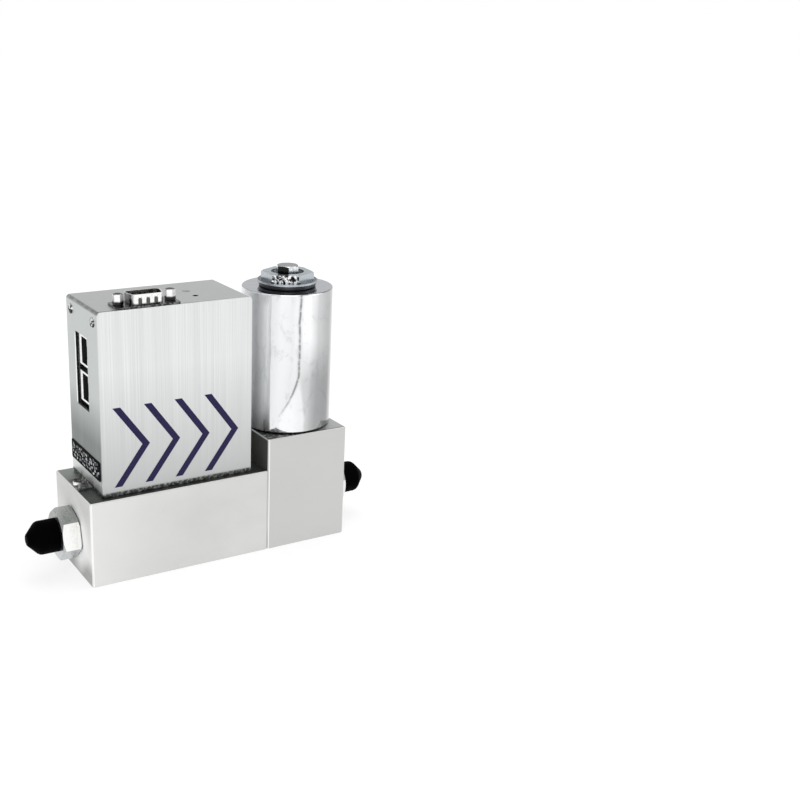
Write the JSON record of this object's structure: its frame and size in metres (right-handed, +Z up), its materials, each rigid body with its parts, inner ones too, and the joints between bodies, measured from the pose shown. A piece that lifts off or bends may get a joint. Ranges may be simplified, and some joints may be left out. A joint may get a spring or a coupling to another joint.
{
  "type": "mass flow controller",
  "caption": "Gas mass flow controller: steel flow block with capped tube fittings, sheet steel electronics housing with jacks and connector, valve block with chromed solenoid coil.",
  "frame": {"origin": "centre of the underside of the two blocks together, on the face that rests on a bench", "axes": "+X is the direction of the flow, from the inlet fitting to the outlet fitting; +Y is towards the rear panel; +Z is up, out of the coil"},
  "size_m": [0.1826, 0.047, 0.1378],
  "materials": {
    "block_steel": "bead blasted, satin",
    "fitting_steel": "turned and milled",
    "sheet_steel": "brushed sheet",
    "screw_steel": "bright machined",
    "coil_chrome": "polished plate",
    "valve_steel": "turned",
    "shield_steel": "bright tin plate",
    "contact_gold": "gold plated",
    "cap_black": "soft moulded",
    "rubber_black": "moulded",
    "plastic_black": "moulded",
    "label_black": "printed film",
    "board_green": "solder mask",
    "chip_black": "moulded",
    "lamp_clear": "clear moulding",
    "lamp_white": "lens",
    "winding_copper": "enamelled copper wire",
    "bobbin_white": "moulded",
    "spring_steel": "drawn wire"
  },
  "bodies": {
    "controller": {"block_joint_screws": "screw_steel", "block_joint_seal": "rubber_black", "board_headers": "plastic_black", "board_screws": "screw_steel", "board_standoffs": "screw_steel", "coil_base_plate": "valve_steel", "coil_bobbin": "bobbin_white", "coil_case": "coil_chrome", "coil_nut": "screw_steel", "coil_seat_ring": "rubber_black", "coil_top_ring": "rubber_black", "coil_washer": "screw_steel", "coil_winding": "winding_copper", "core_tube": "valve_steel", "core_tube_seal": "rubber_black", "dsub_insulator": "plastic_black", "dsub_jackscrews": "screw_steel", "dsub_pins": "contact_gold", "dsub_shell": "shield_steel", "fixed_core": "valve_steel", "flow_block": "block_steel", "flow_sensor_chip": "chip_black", "folded_cover": "sheet_steel", "foot_screws": "screw_steel", "front_panel": "sheet_steel", "inlet_cap": "cap_black", "inlet_fitting": "fitting_steel", "inlet_fitting_seal": "rubber_black", "inlet_screen": "valve_steel", "jack_contacts": "contact_gold", "laminar_element": "valve_steel", "lower_jack_insert": "plastic_black", "lower_jack_shield": "shield_steel", "main_board": "board_green", "main_board_chips": "chip_black", "outlet_cap": "cap_black", "outlet_fitting": "fitting_steel", "outlet_fitting_seal": "rubber_black", "plunger_spring": "spring_steel", "rear_panel": "sheet_steel", "sensor_board": "board_green", "sensor_board_screws": "screw_steel", "sensor_gasket": "rubber_black", "side_label": "label_black", "side_screws": "screw_steel", "status_lamp": "lamp_white", "status_light_pipe": "lamp_clear", "top_screw": "screw_steel", "top_screw_washer": "valve_steel", "upper_board": "board_green", "upper_jack_insert": "plastic_black", "upper_jack_shield": "shield_steel", "valve_block": "block_steel", "valve_orifice": "valve_steel", "valve_orifice_seal": "rubber_black", "zero_switch": "plastic_black"},
    "valve_plunger": {"plunger": "valve_steel", "plunger_seat_pad": "rubber_black"},
    "zero_button": {"zero_button": "plastic_black"}
  },
  "joints": [
    {"name": "plunger_lift", "type": "slide", "parent": "controller", "child": "valve_plunger", "axis": [0, 0, 1], "range_m": [0, 0.0006], "stiffness_N_per_m": 1500, "springref_m": -0.0005, "deforming": ["plunger_spring"]},
    {"name": "zero_press", "type": "slide", "parent": "controller", "child": "zero_button", "axis": [0, 0, -1], "range_m": [0, 0.00025], "stiffness_N_per_m": 800, "springref_m": -0.0005}
  ]
}
